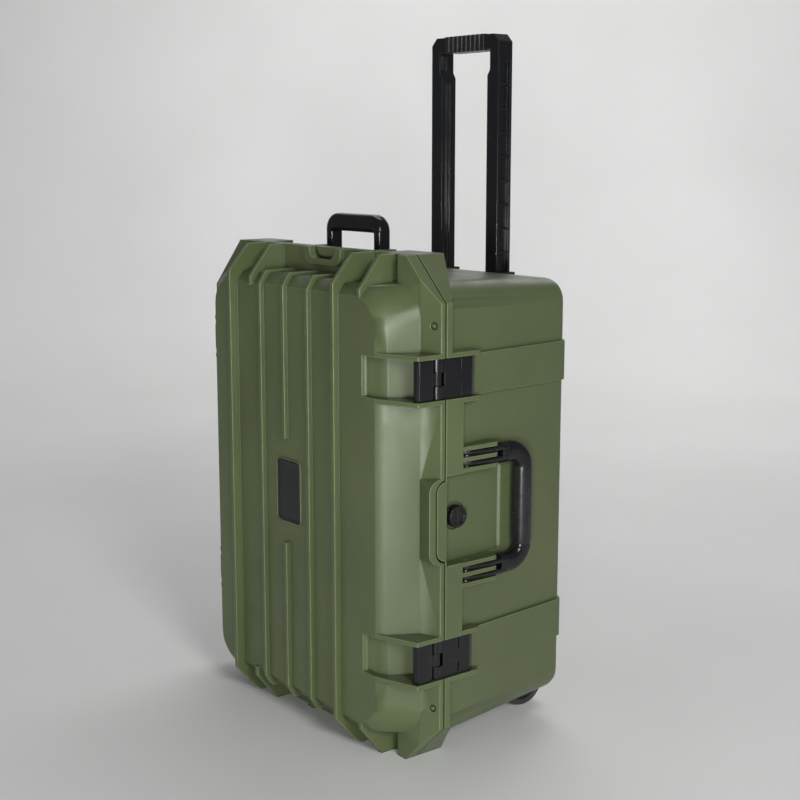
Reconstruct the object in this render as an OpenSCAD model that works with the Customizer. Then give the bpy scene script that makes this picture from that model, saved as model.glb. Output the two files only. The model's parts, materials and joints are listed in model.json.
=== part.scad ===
// Wheeled hard equipment case with a hinged lid, two double-throw latches,
// a main handle, an end handle, a pull handle and two wheels.
// The case stands on its wheel end. X is the width (hinges at -X, latches at +X),
// Y is the depth (lid at -Y, base at +Y, the two halves part at Y = 0) and Z is the length.
// The origin is on the floor, under the middle of the parting plane.

/* [Case] */
// Length of the case over its rims
case_length = 630; // [626:1:640]
// Width of the case over its rims
case_width = 500; // [496:1:506]
// Depth of the base behind the parting plane
base_depth = 227; // [222:1:232]
// Depth of the lid's outer panels in front of the parting plane
lid_depth = 62; // [60:0.5:64]
// Wall thickness of the two shells
wall = 4; // [3:0.5:5]
// Size of the chamfer across each rim corner
rim_chamfer = 54; // [48:1:58]

/* [Latches] */
// Height of each latch centre above or below the middle of the case
latch_offset = 172.4; // [165:1:176]
// Width of a latch along the case
latch_width = 48; // [44:1:48]

/* [Pull handle] */
// Width of the pull handle over its two arms
pull_width = 138; // [134:1:140]
// Distance that the pull handle slides
pull_travel = 290; // [200:5:290]

/* [Wheels] */
// Radius of a wheel over its tyre
wheel_r = 35; // [34:0.5:36]
// Width of a wheel
wheel_width = 34; // [30:1:35]

/* [Hidden] */

$fn = 48;
// Half the thickness of the sheets that a blended body is made from
sheet = 0.05;
// Radial clearances of a fixed pin and of a turning pin
fixed_fit = 0.02;
turning_fit = 0.05;
// Gap between two pieces that are fastened against each other
seat_gap = 0.05;

// Colours
olive = [0.35, 0.42, 0.24];
olive_dark = [0.30, 0.37, 0.21];
black_plastic = [0.06, 0.06, 0.07];
rubber_black = [0.10, 0.10, 0.10];
steel = [0.72, 0.73, 0.75];
brass = [0.75, 0.62, 0.35];

// Case
half_len = case_length / 2;
half_w = case_width / 2;
mid_z = half_len;
hinge_chamfer = rim_chamfer + 12;
rim_gap = 2.4;
lid_flange_y = -8;
lid_strip_back = -3;
rim_strip = 17;
base_flange_y = 9;
body_r = 34;

// Lid body: x limits differ because the hinge side is set further in
lid_x0 = -half_w + 85;
lid_x1 = half_w - 60;
lid_end = half_len - 49;
lid_bevel_x = 14;
lid_bevel_y = 9.5;
lid_foot_x0 = -half_w + 42;
lid_foot_x1 = half_w - 21;
lid_end_foot = half_len - 33.5;
mid_panel_y = -lid_depth + 4;

// Ribs across the lid
low_rib_pitch = 53.5;
low_rib_crest = -63.8;
tall_rib_x = 117;
tall_rib_crest = -70;
rib_w = 6;
gusset_a_x = -78;
gusset_b_x = 160;

// Nameplate in the middle of the lid
plate_width = 50;
plate_height = 80;
plate_centre_x = 4;
plate_back_y = mid_panel_y + 1.5;
plate_front_y = mid_panel_y - 1.6;

// Base body
base_x = half_w - 12;
base_back_x = half_w - 32;
base_end = half_len - 28.5;
base_back_end = half_len - 39.5;
band_proud = 4.5;
band_in = 146.6;
band_out = 197.3;

// Ears on both sides of each latch and of each hinge
ear_in = latch_width / 2 + 0.6;
ear_t = 5.6;
ear_out = ear_in + ear_t;
ear_peak_y = -43;
ear_back_y = 56;

// Lid hinges
hinge_x = -half_w - 5;
hinge_y = -1.2;
hinge_pin_r = 2.5;
hinge_knuckle_r = 6.5;
hinge_bush_t = 1.5;
hinge_lug_half = 17;

// Latches
latch_pin_x = half_w - 9.5;
latch_pin_y = -35;
lever_pin_x = half_w - 9;
lever_pin_y = -8;
latch_pin_r = 2;
lever_pin_r = 1.6;
knuckle_r = 6.8;
middle_knuckle = 8;
latch_face_x = half_w - 3;

// Main handle on the latch side
main_pivot_x = half_w - 9;
main_pivot_y = 40;
main_fin_z = 71.7;
main_fin_pitch = 13.1;
main_fin_t = 5;
main_pin_r = 2.5;
grip_y = 134;
grip_r = 11;
grip_spread = 3.8;
grip_x = half_w - 10;
grip_half = 54;
grip_skin = 4;
main_reach = 87;

// End handle
end_pivot_y = 57.5;
end_pivot_z = half_len - 11;
end_half_w = 59;
end_leg_w = 14;
end_leg_t = 20;
end_top_z = half_len + 40;
end_pin_r = 2.5;
end_lug_w = 12;

// Valve
valve_y = 27.9;
valve_x = half_w - 21;
valve_knob_r = 14;
valve_bore_r = 9;
side_pocket_half = 55.5;
side_pocket_back = 108;

// Notches in the ends of the lid and the tongue beside the valve
end_notch_x = 18;
tongue_root_x = half_w - 16;
tongue_reach = 13.5;
tongue_half = 49;
strip_back = 27;

// Padlock holes
padlock_z = half_len - 14;
padlock_x_a = -97.5;
padlock_x_b = 138.5;
padlock_r = 5;
eyelet_r = 7.5;

// Pull handle and its track
arm_w = 22;
arm_y0 = 241;
arm_depth = 25;
arm_y1 = arm_y0 + arm_depth;
pull_top = half_len + 275;
pull_bar = 20;
pull_grip_half = 40;
pull_skin = 3;
arm_bottom = pull_top - pull_bar - 395;
arm_x = pull_width / 2 - arm_w / 2;
arm_y = arm_y0 + arm_depth / 2;
shoe_grow = 1.5;
shoe_h = 14;
slide_gap = 0.6;
bush_bottom = arm_bottom + 0.5;
track_top = base_back_end - 3;
track_bottom = arm_bottom - pull_travel - shoe_h - 6;
track_wall = 3;
track_plate_t = 4;
track_half_w = arm_x + arm_w / 2 + shoe_grow + slide_gap + track_wall;
track_y0 = base_depth + seat_gap;
track_screw_x = 26;
track_screw_z = [-110, -15, 80, 175, 255];
screw_r = 2.5;

// Wheels
wheel_x0 = 126;
wheel_x1 = wheel_x0 + wheel_width;
wheel_y = 221;
wheel_z = -half_len + wheel_r;
axle_r = 4;
bush_r = 6;
hub_r = 26;
pocket_gap = 3.5;
housing_t = 4;
housing_screw_r = 2;
housing_screw_places = [[-19, 26], [-32, 6]];

// ---------- helpers ----------

// Moves its children from the middle of the case to their height above the floor
module centred() {
    translate([0, 0, mid_z]) children();
}

// An outline in (x, z) given depth from y0 to y1
module slab(y0, y1) {
    translate([0, y1, 0]) rotate([90, 0, 0]) linear_extrude(y1 - y0) children();
}

// An outline in (y, z) given width from x0 to x1
module plate_x(x0, x1) {
    translate([x0, 0, 0]) rotate([90, 0, 90]) linear_extrude(x1 - x0) children();
}

// An outline in (x, y) given height from z0 to z1
module plate_z(z0, z1) {
    translate([0, 0, z0]) linear_extrude(z1 - z0) children();
}

// Repeats its children at the upper end and, mirrored, at the lower end
module both_ends() {
    children();
    mirror([0, 0, 1]) children();
}

// Repeats its children on the left and, mirrored, on the right
module both_sides() {
    children();
    mirror([1, 0, 0]) children();
}

module pin_x(r, x0, x1) {
    translate([x0, 0, 0]) rotate([0, 90, 0]) cylinder(r = r, h = x1 - x0);
}

module pin_y(r, y0, y1) {
    translate([0, y1, 0]) rotate([90, 0, 0]) cylinder(r = r, h = y1 - y0);
}

module pin_z(r, z0, z1) {
    translate([0, 0, z0]) cylinder(r = r, h = z1 - z0);
}

// Corners of a box with rounded corners, as a list of points
function round_box(x0, x1, z0, z1, r, steps = 6) = [
    for (corner = [[x1 - r, z1 - r, 0], [x0 + r, z1 - r, 90], [x0 + r, z0 + r, 180], [x1 - r, z0 + r, 270]])
        for (k = [0 : steps])
            let (a = corner[2] + 90 * k / steps)
                [corner[0] + r * cos(a), corner[1] + r * sin(a)]
];

// Eight-sided outline of the rims, with larger chamfers on the hinge side
module rim() {
    w = half_w;
    l = half_len;
    c = rim_chamfer;
    h = hinge_chamfer;
    polygon([
        [w, -l + c], [w, l - c], [w - c, l], [-w + h, l],
        [-w, l - h], [-w, -l + h], [-w + h, -l], [w - c, -l]
    ]);
}

module rounded(x0, x1, z0, z1, r) {
    polygon(round_box(x0, x1, z0, z1, r));
}

// A thin rounded sheet at depth y, used as one layer of a blended body
module layer(y, x0, x1, z, r) {
    slab(y - sheet, y + sheet) rounded(x0, x1, -z, z, r);
}

// ---------- lid ----------

// Outer form of the lid body, drawn in by t for the hollow
module lid_form(t = 0) {
    foot_y = t > 0 ? 1 : lid_flange_y + 2;
    bevel_y = -lid_depth + lid_bevel_y;
    hull() {
        layer(foot_y, lid_foot_x0 + t, lid_foot_x1 - t, lid_end_foot - t, body_r);
        layer(bevel_y, lid_x0 - lid_bevel_x + t, lid_x1 + lid_bevel_x - t, lid_end + 13 - t, body_r + 13);
        layer(-lid_depth + t + sheet, lid_x0 + t, lid_x1 - t, lid_end - t, body_r);
    }
}

// Side outline of the step that sets the middle panel back between the tall ribs.
// The step is moved back by t where it bounds the hollow.
module middle_step(t = 0) {
    out = 90;
    front = mid_panel_y + t;
    bevel_y = front + 11;
    bevel_z = lid_end + 14 - t;
    polygon([
        [-out, -half_len], [-out, half_len], [bevel_y, half_len], [bevel_y, bevel_z],
        [front, lid_end - t], [front, t - lid_end], [bevel_y, -bevel_z], [bevel_y, -half_len]
    ]);
}

// Side outline of a low rib that bends over both ends of the lid
module low_rib_outline() {
    crest_z = half_len - 47.6;
    end_z = half_len - 31.5;
    polygon([
        [low_rib_crest, -crest_z], [low_rib_crest, crest_z], [low_rib_crest + 10, end_z],
        [lid_flange_y + 1, end_z + 1], [lid_flange_y + 1, -end_z - 1], [low_rib_crest + 10, -end_z]
    ]);
}

// Side outline of a tall rib that grows into a gusset up to the rim
module tall_rib_outline() {
    top_crest = half_len - 35;
    low_crest = half_len - 42;
    foot = tall_rib_crest + 31;
    polygon([
        [tall_rib_crest, -low_crest], [tall_rib_crest, top_crest], [foot, half_len],
        [lid_flange_y + 1, half_len], [lid_flange_y + 1, 1 - half_len], [foot + 8, 1 - half_len],
        [foot, 6 - half_len]
    ]);
}

// Side outline of a short gusset at one end of the lid
module short_gusset_outline() {
    polygon([
        [-lid_depth, half_len - 52], [-lid_depth, half_len - 40], [-30, half_len],
        [lid_flange_y + 1, half_len], [lid_flange_y + 1, half_len - 52]
    ]);
}

// Plan outline of an ear on the lid beside a latch
module lid_ear_outline() {
    polygon([
        [lid_x1 - 28, -lid_depth + 1], [lid_x1 + 5, -lid_depth + 1], [half_w, ear_peak_y],
        [half_w, -rim_gap], [lid_foot_x1 - 30, -rim_gap], [lid_x1 - 28, -lid_depth + 32]
    ]);
}

// Plan outline of the space cut into the lid between two latch ears, made larger by t.
// It stops at the strip of the rim that holds the gasket.
module latch_recess_outline(t = 0) {
    back = -lid_depth + 9 + t;
    strip_y = t > 0 ? lid_strip_back : lid_flange_y;
    polygon([
        [lid_x1 - 23 - t, -lid_depth - 20], [lid_x1 - 23 - t, back], [lid_x1 - 4 - t / 2, back],
        [lid_x1 + 6 - t, back + 8], [half_w - 33 - t, -10], [half_w - 33 - t, strip_y],
        [half_w - rim_strip, strip_y], [half_w - rim_strip, 1], [half_w + 30, 1],
        [half_w + 30, -lid_depth - 20]
    ]);
}

// Plan outline of an ear on the lid beside a hinge
module hinge_ear_outline() {
    difference() {
        union() {
            polygon([
                [lid_x0 + 2, -lid_depth + 2], [hinge_x + 1, hinge_y - hinge_knuckle_r + 0.4],
                [hinge_x + 2, -rim_gap], [lid_foot_x0 + 30, -rim_gap], [lid_x0 + 20, -lid_depth + 24]
            ]);
            translate([hinge_x, hinge_y]) circle(r = hinge_knuckle_r);
        }
        translate([hinge_x + 1, -rim_gap]) square([40, 40]);
    }
}

// Plan outline of the pocket between two hinge ears, made larger by t.
// It stops at the strip of the rim that holds the gasket.
module hinge_pocket_outline(t = 0) {
    strip_y = t > 0 ? lid_strip_back : lid_flange_y;
    polygon([
        [-half_w - 30, -lid_depth - 20], [lid_x0 - 2 + t, -lid_depth - 20], [lid_x0 - 2 + t, -lid_depth + 9],
        [lid_foot_x0 + 4 + t, -14], [lid_foot_x0 + t, strip_y], [-half_w + rim_strip, strip_y],
        [-half_w + rim_strip, 1], [-half_w - 30, 1]
    ]);
}

// U-shaped outline at the upper rim, half_x wide to each side and drop deep
module end_notch(half_x, drop) {
    r = 12;
    bottom = half_len - drop + r;
    translate([end_notch_x, 0]) polygon(concat(
        [[-half_x - 2, half_len + 1]],
        [for (a = [0 : 15 : 90]) [-half_x + r - r * cos(a), bottom - r * sin(a)]],
        [for (a = [90 : -15 : 0]) [half_x - r + r * cos(a), bottom - r * sin(a)]],
        [[half_x + 2, half_len + 1]]
    ));
}

// Side outline of the tongue by which the base reaches into the lid beside the valve
module valve_tongue_outline(grow = 0) {
    half = tongue_half + grow;
    rounded(-tongue_reach - grow, 60, -half, half, tongue_reach + grow);
}

module lid_flange() {
    slab(lid_flange_y, -rim_gap) rim();
    // the latch side slopes up from the rim to the body
    intersection() {
        plate_z(-half_len, half_len) polygon([
            [half_w - 70, -18], [lid_foot_x1 - 6.5, -18], [half_w, lid_flange_y],
            [half_w, -5], [half_w - 70, -5]
        ]);
        slab(-30, 0) rim();
    }
    // collar around the base's tongue, sloping up from the lid's side wall
    intersection() {
        plate_x(lid_foot_x1 - 8, half_w) rounded(-tongue_reach - 12.5, 60, -53, 53, 18);
        plate_z(-half_len, half_len) polygon([
            [lid_foot_x1 - 6.5, -18], [half_w, -tongue_reach - 12], [half_w, -rim_gap],
            [lid_foot_x1 - 6.5, -rim_gap]
        ]);
    }
    // collars around the end notches
    both_ends() intersection() {
        slab(-14, -rim_gap) end_notch(40, 22);
        slab(-30, 0) rim();
    }
}

module lid_ribs() {
    // the middle rib stops short of the nameplate
    gap = plate_height / 2 + 29;
    difference() {
        for (x = [-low_rib_pitch, 0, low_rib_pitch])
            plate_x(x - rib_w / 2, x + rib_w / 2) low_rib_outline();
        translate([-rib_w, -lid_depth - 20, -gap]) cube([2 * rib_w, 60, 2 * gap]);
    }
    // bead around the nameplate
    slab(plate_front_y - 0.4, mid_panel_y + 1) difference() {
        plate_outline(-2.4);
        plate_outline(-1);
    }
    for (x = [-tall_rib_x, tall_rib_x])
        plate_x(x - rib_w / 2, x + rib_w / 2) tall_rib_outline();
    for (x = [gusset_a_x, gusset_b_x])
        both_ends() plate_x(x - rib_w / 2, x + rib_w / 2) short_gusset_outline();
}

// The ears beside both latches or both hinges, cut from the outline given as a child
module ear_pairs() {
    for (side = [-1, 1])
        for (ear = [-1, 1])
            let (z = side * latch_offset + ear * (ear_in + ear_t / 2))
                plate_z(z - ear_t / 2, z + ear_t / 2) children();
}

module lid_solid() {
    difference() {
        union() {
            difference() {
                lid_form();
                plate_x(-tall_rib_x, tall_rib_x) middle_step();
            }
            lid_flange();
            lid_ribs();
        }
        for (z = [-latch_offset, latch_offset]) {
            plate_z(z - ear_in, z + ear_in) latch_recess_outline();
            plate_z(z - ear_in, z + ear_in) hinge_pocket_outline();
        }
    }
    ear_pairs() lid_ear_outline();
    ear_pairs() hinge_ear_outline();
}

// Hollow of the lid, which keeps a wall behind the middle panel, the latch recesses and the hinge pockets
module lid_hollow() {
    difference() {
        lid_form(wall);
        plate_x(-tall_rib_x - 3, tall_rib_x + 3) middle_step(wall);
        for (z = [-latch_offset, latch_offset]) {
            plate_z(z - ear_in - wall, z + ear_in + wall) latch_recess_outline(wall);
            plate_z(z - ear_in - wall, z + ear_in + wall) hinge_pocket_outline(wall);
        }
    }
}

module lid_shell() {
    color(olive) centred() difference() {
        lid_solid();
        lid_hollow();
        // seat for the nameplate
        slab(-lid_depth - 12, plate_back_y) plate_outline(-0.5);
        // gasket groove
        slab(-5.4, -rim_gap + 1) difference() {
            rounded(-half_w + 18.9, half_w - 18.9, -half_len + 32.9, half_len - 32.9, body_r);
            rounded(-half_w + 24.1, half_w - 24.1, -half_len + 38.1, half_len - 38.1, body_r - 5);
        }
        // room for the base's tongue beside the valve
        plate_x(tongue_root_x - rim_gap, half_w + 1) valve_tongue_outline(rim_gap);
        both_ends() slab(-30, 1) end_notch(27, 15);
        for (z = [-latch_offset, latch_offset])
            translate([0, 0, z]) {
                translate([hinge_x, hinge_y, 0]) pin_z(hinge_pin_r + fixed_fit, -ear_out - 1, ear_out + 1);
                translate([latch_pin_x, latch_pin_y, 0])
                    pin_z(latch_pin_r + fixed_fit, -ear_out - 1, ear_out + 1);
            }
        for (x = [padlock_x_a, padlock_x_b])
            both_ends() translate([x, 0, padlock_z]) pin_y(eyelet_r, lid_flange_y - 30, 1);
        // small round recesses on the latch-side rim
        for (z = [-235, 235])
            translate([half_w - 9.5, -12, z]) rotate([0, 0, 20]) rotate([90, 0, 0]) difference() {
                cylinder(r = 5, h = 8, center = true);
                cylinder(r = 2.4, h = 9, center = true);
            }
    }
}

module lid_gasket() {
    color(rubber_black) centred() slab(-5.3, -0.06) difference() {
        rounded(-half_w + 19, half_w - 19, -half_len + 33, half_len - 33, body_r);
        rounded(-half_w + 24, half_w - 24, -half_len + 38, half_len - 38, body_r - 5);
    }
}

// Front outline of the nameplate, drawn in by t
module plate_outline(t = 0) {
    w = plate_width / 2 - t;
    h = plate_height / 2 - t;
    translate([plate_centre_x, 0]) rounded(-w, w, -h, h, 5 - t);
}

module nameplate() {
    border = 3;
    color(black_plastic) centred() difference() {
        slab(plate_front_y, plate_back_y) plate_outline();
        slab(plate_front_y - 1, plate_front_y + 0.6) plate_outline(border);
    }
}

module padlock_eyelet(y0, y1) {
    difference() {
        pin_y(eyelet_r, y0, y1);
        pin_y(padlock_r, y0 - 1, y1 + 1);
    }
}

module padlock_eyelets_lid() {
    color(steel) centred() for (x = [padlock_x_a, padlock_x_b])
        both_ends() translate([x, 0, padlock_z]) padlock_eyelet(lid_flange_y - 1.5, -rim_gap);
}

module padlock_eyelets_base() {
    color(steel) centred() for (x = [padlock_x_a, padlock_x_b])
        both_ends() translate([x, 0, padlock_z]) padlock_eyelet(0, base_flange_y + 1.5);
}

module hinge_pins() {
    color(steel) centred() for (z = [-latch_offset, latch_offset])
        translate([hinge_x, hinge_y, z]) pin_z(hinge_pin_r, -ear_out + 0.5, ear_out - 0.5);
}

module hinge_bushes() {
    color(brass) centred() for (z = [-latch_offset, latch_offset])
        translate([hinge_x, hinge_y, z]) difference() {
            pin_z(hinge_pin_r + hinge_bush_t, -hinge_lug_half - 0.3, hinge_lug_half + 0.3);
            pin_z(hinge_pin_r + turning_fit, -hinge_lug_half - 1, hinge_lug_half + 1);
        }
}

// ---------- base ----------

// A layer of the base, drawn in by t from its full size x by z
module base_layer(y, x, z, t, r) {
    layer(y, t - x, x - t, z - t, r);
}

// Outer form of the base body, made larger by grow and ending in a rounded back edge
module base_form(grow = 0) {
    hull() {
        base_layer(5, base_x, base_end, -grow, body_r);
        base_layer(base_depth - 10, base_back_x, base_back_end, -grow, body_r - 6);
        base_layer(base_depth - 3.2, base_back_x, base_back_end, 2.6 - grow, body_r - 8);
        base_layer(base_depth + grow - sheet, base_back_x, base_back_end, 9, body_r - 10);
    }
}

// Hollow of the base
module base_hollow() {
    rim_x = half_w - 26;
    rim_z = half_len - 41;
    slab(-1, 13) rounded(-rim_x, rim_x, -rim_z, rim_z, body_r - 6);
    hull() {
        base_layer(13, base_x, base_end, wall + 1, body_r - 4);
        base_layer(base_depth - wall - 8, base_back_x, base_back_end, wall + 0.5, body_r - 10);
        base_layer(base_depth - wall, base_back_x, base_back_end, wall + 9, body_r - 14);
    }
}

// Room for one wheel and its housing in the bottom corner of the base, made larger by grow
module wheel_room(grow = 0) {
    r = wheel_r + pocket_gap + housing_t + grow;
    x0 = wheel_x0 - pocket_gap - housing_t - grow;
    x1 = wheel_x1 + pocket_gap + housing_t + grow;
    both_sides() {
        translate([0, wheel_y, wheel_z]) pin_x(r, x0, x1);
        translate([x0, wheel_y - r, wheel_z - 60]) cube([x1 - x0, 80, 60]);
        translate([x0, wheel_y, wheel_z - 60]) cube([x1 - x0, 80, 60 + r]);
    }
}

// Plan outline of an ear on the base beside a latch, rounded at its back end
module base_ear_outline() {
    r = 6;
    polygon(concat(
        [[base_x - 12, 0], [half_w, 0]],
        [for (a = [0 : 15 : 90]) [half_w - r + r * cos(a), ear_back_y - r + r * sin(a)]],
        [[base_x - 12, ear_back_y]]
    ));
}

// Bands that stand proud of the side walls and the back
module base_bands() {
    intersection() {
        base_form(band_proud);
        both_ends() slab(52, base_depth + 10)
            translate([-half_w, band_in]) square([case_width, band_out - band_in]);
        // on the back the bands end beside the track
        difference() {
            translate([-half_w, 0, -half_len]) cube([case_width, base_depth + 2, case_length]);
            translate([-track_half_w - 2, base_depth, -half_len])
                cube([2 * track_half_w + 4, 10, case_length]);
        }
    }
}

// Thick corner blocks behind the base rim, which are also feet when the case stands up
module corner_blocks() {
    back = 42;
    intersection() {
        slab(0, back) rim();
        both_sides() both_ends() intersection() {
            translate([128, 0, base_end - 20]) cube([half_w, back, 100]);
            // the block falls away towards the side of the case
            plate_z(0, half_len) polygon([
                [0, 0], [half_w, 0], [half_w, 10], [half_w - rim_chamfer - 4, back], [0, back]
            ]);
        }
    }
}

// Hollows in the back of the corner blocks
module corner_block_hollows() {
    both_sides() both_ends() for (x = [132, 159.5])
        translate([x, base_flange_y + 4, base_end + 4]) cube([23.5, 60, 20.5]);
}

// Three fins that carry one end of the main handle
module main_handle_mount() {
    front_y = strip_back - 1;
    back_y = 86;
    root_x = base_x - 14;
    r = 7;
    for (k = [-1 : 1])
        let (z = main_fin_z + k * main_fin_pitch)
            plate_z(z - main_fin_t / 2, z + main_fin_t / 2) polygon(concat(
                [[root_x, front_y], [half_w, front_y]],
                [for (a = [0 : 15 : 90]) [half_w - r + r * cos(a), back_y - r + r * sin(a)]],
                [[root_x, back_y]]
            ));
}

// Broad strips of the latch-side rim, from the pocket to the latches
module rim_strips() {
    both_ends() translate([base_x - 4, 0, side_pocket_half - 1])
        cube([half_w - base_x + 4, strip_back, latch_offset - ear_in - side_pocket_half + 1]);
}

// The lug of each lid hinge, seen in plan
module hinge_lug_outline() {
    translate([hinge_x, hinge_y]) circle(r = hinge_knuckle_r);
    polygon([
        [hinge_x - hinge_knuckle_r, hinge_y], [hinge_x - hinge_knuckle_r + 0.5, 8], [-base_x - 4, 30],
        [-base_x + 6, 30], [-base_x + 6, 2], [hinge_x + 5, 2], [hinge_x + 4, hinge_y]
    ]);
}

module valve_tongue() {
    intersection() {
        plate_x(tongue_root_x, half_w) valve_tongue_outline();
        slab(-tongue_reach - 1, base_flange_y - 1) rim();
    }
}

// Rounded tabs of the base that stand in the end notches of the lid
module end_tabs() {
    both_ends() intersection() {
        slab(-6, base_flange_y - 1) end_notch(22, 11);
        slab(-6, base_flange_y - 1) rim();
    }
}

module base_solid() {
    difference() {
        union() {
            slab(0, base_flange_y) rim();
            base_form();
            base_bands();
            corner_blocks();
            rim_strips();
        }
        corner_block_hollows();
        for (z = [-latch_offset, latch_offset]) {
            // the rim is cut back under the latches and in the hinge pockets
            translate([half_w - rim_strip, -1, z - ear_in]) cube([30, 24, 2 * ear_in]);
            translate([-half_w - 13, -1, z - ear_in]) cube([26, 32, 2 * ear_in]);
        }
        // clearance around the lid's hinge knuckles
        for (z = [-latch_offset, latch_offset])
            translate([hinge_x, hinge_y, z]) pin_z(hinge_knuckle_r + 0.8, -ear_out - 1, ear_out + 1);
    }
    for (z = [-latch_offset, latch_offset]) {
        plate_z(z - hinge_lug_half, z + hinge_lug_half) hinge_lug_outline();
        // the catch that a latch claw closes against
        plate_z(z - 18, z + 18) polygon([
            [base_x - 12, 17], [base_x - 2, 17], [base_x - 2, 25], [base_x - 5, 30], [base_x - 12, 30]
        ]);
    }
    ear_pairs() base_ear_outline();
    both_ends() main_handle_mount();
    valve_tongue();
    end_tabs();
}

// One lug of the end handle, from x0 outwards and up to height top
module end_handle_lug(x0, top) {
    front_y = 34;
    plate_x(x0, x0 + end_lug_w) polygon([
        [front_y, base_end - 10], [front_y, top], [end_pivot_y + 8, top], [end_pivot_y + 22, base_end - 10]
    ]);
}

// Lugs on both sides of each leg of the end handle
module end_handle_lugs() {
    side_gap = 0.6;
    both_sides() {
        end_handle_lug(end_half_w + side_gap, half_len - 3);
        end_handle_lug(end_half_w - end_leg_w - side_gap - end_lug_w, half_len - 7);
    }
}

// Plan outline of the shallow pocket between the ends of the main handle, made larger by t.
// Its front wall leans forward under the tongue.
module side_pocket_outline(t = 0) {
    front = 14.5 - t;
    back = side_pocket_back + t;
    polygon([
        [base_x - 5 - t, front], [base_x - 12 - t, back - 4], [base_x - 8 - t, back],
        [half_w + 10, back], [half_w + 10, front - 21]
    ]);
}

module side_pocket(t = 0) {
    half = side_pocket_half + t;
    intersection() {
        plate_z(-half, half) side_pocket_outline(t);
        plate_x(base_x - 30, half_w + 10) rounded(-60, side_pocket_back + t, -half, half, 10);
    }
}

module at_track_screws() {
    for (x = [-track_screw_x, track_screw_x])
        for (z = track_screw_z)
            translate([x, 0, z]) children();
}

module at_housing_screws() {
    for (p = housing_screw_places)
        translate([0, wheel_y + p[0], wheel_z + p[1]]) children();
}

// The hollow of the base less the walls that stand into it
module base_room() {
    difference() {
        base_hollow();
        wheel_room(wall);
        side_pocket(wall + 0.5);
        translate([0, valve_y, 0]) pin_x(valve_knob_r + 8, valve_x - wall, half_w);
        at_track_screws() pin_y(6, base_depth - 11, base_depth);
    }
}

module base_shell() {
    color(olive_dark) centred() difference() {
        union() {
            difference() {
                base_solid();
                base_room();
                side_pocket();
            }
            end_handle_lugs();
        }
        wheel_room();
        for (z = [-latch_offset, latch_offset])
            translate([hinge_x, hinge_y, z])
                pin_z(hinge_pin_r + hinge_bush_t + fixed_fit, -hinge_lug_half - 1, hinge_lug_half + 1);
        translate([0, valve_y, 0]) pin_x(valve_bore_r, base_x - 30, half_w + 10);
        // flat seat for the valve
        translate([0, valve_y, 0]) pin_x(valve_knob_r + 4, valve_x, half_w - 10);
        both_ends() translate([main_pivot_x, main_pivot_y, main_fin_z])
            pin_z(main_pin_r + fixed_fit, -main_fin_pitch - 4, main_fin_pitch + 4);
        translate([0, end_pivot_y, end_pivot_z]) pin_x(end_pin_r + fixed_fit, -half_w, half_w);
        at_track_screws() pin_y(screw_r + fixed_fit, base_depth - 9.3, base_depth + 1);
        both_sides() at_housing_screws() pin_x(
            housing_screw_r + fixed_fit,
            wheel_x0 - pocket_gap - housing_t - 3.6, wheel_x1 + pocket_gap + housing_t + 3.6
        );
        for (x = [padlock_x_a, padlock_x_b])
            both_ends() translate([x, 0, padlock_z]) pin_y(eyelet_r, -1, 60);
    }
}

// ---------- latches ----------

// Link of a latch: pivots on the lid and carries the lever
module latch_link() {
    half = latch_width / 2;
    color(black_plastic) difference() {
        union() {
            plate_z(-half, half) {
                translate([latch_pin_x, latch_pin_y]) circle(r = 6);
                polygon([
                    [latch_pin_x - 4, latch_pin_y - 4], [latch_face_x, latch_pin_y - 4],
                    [latch_face_x + 1, latch_pin_y + 8], [latch_face_x - 1, lever_pin_y - knuckle_r - 2],
                    [latch_pin_x - 6, lever_pin_y - knuckle_r - 2]
                ]);
            }
            plate_z(-middle_knuckle, middle_knuckle) {
                translate([lever_pin_x, lever_pin_y]) circle(r = knuckle_r - 1);
                polygon([
                    [lever_pin_x - 5.5, lever_pin_y - 12], [lever_pin_x + 4, lever_pin_y - 12],
                    [lever_pin_x + 4, lever_pin_y], [lever_pin_x - 5.5, lever_pin_y]
                ]);
            }
            // the claw that reaches over the catch of the base
            plate_z(-middle_knuckle + 0.4, middle_knuckle - 0.4) polygon([
                [lever_pin_x - 5.5, lever_pin_y - 4], [lever_pin_x - 2, lever_pin_y], [base_x + 1.7, 12],
                [base_x + 1.7, 28], [base_x - 1.2, 28], [base_x - 1.2, 10]
            ]);
        }
        translate([latch_pin_x, latch_pin_y, 0]) pin_z(latch_pin_r + turning_fit, -half - 1, half + 1);
        translate([lever_pin_x, lever_pin_y, 0]) pin_z(lever_pin_r + fixed_fit, -half - 1, half + 1);
    }
}

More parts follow.
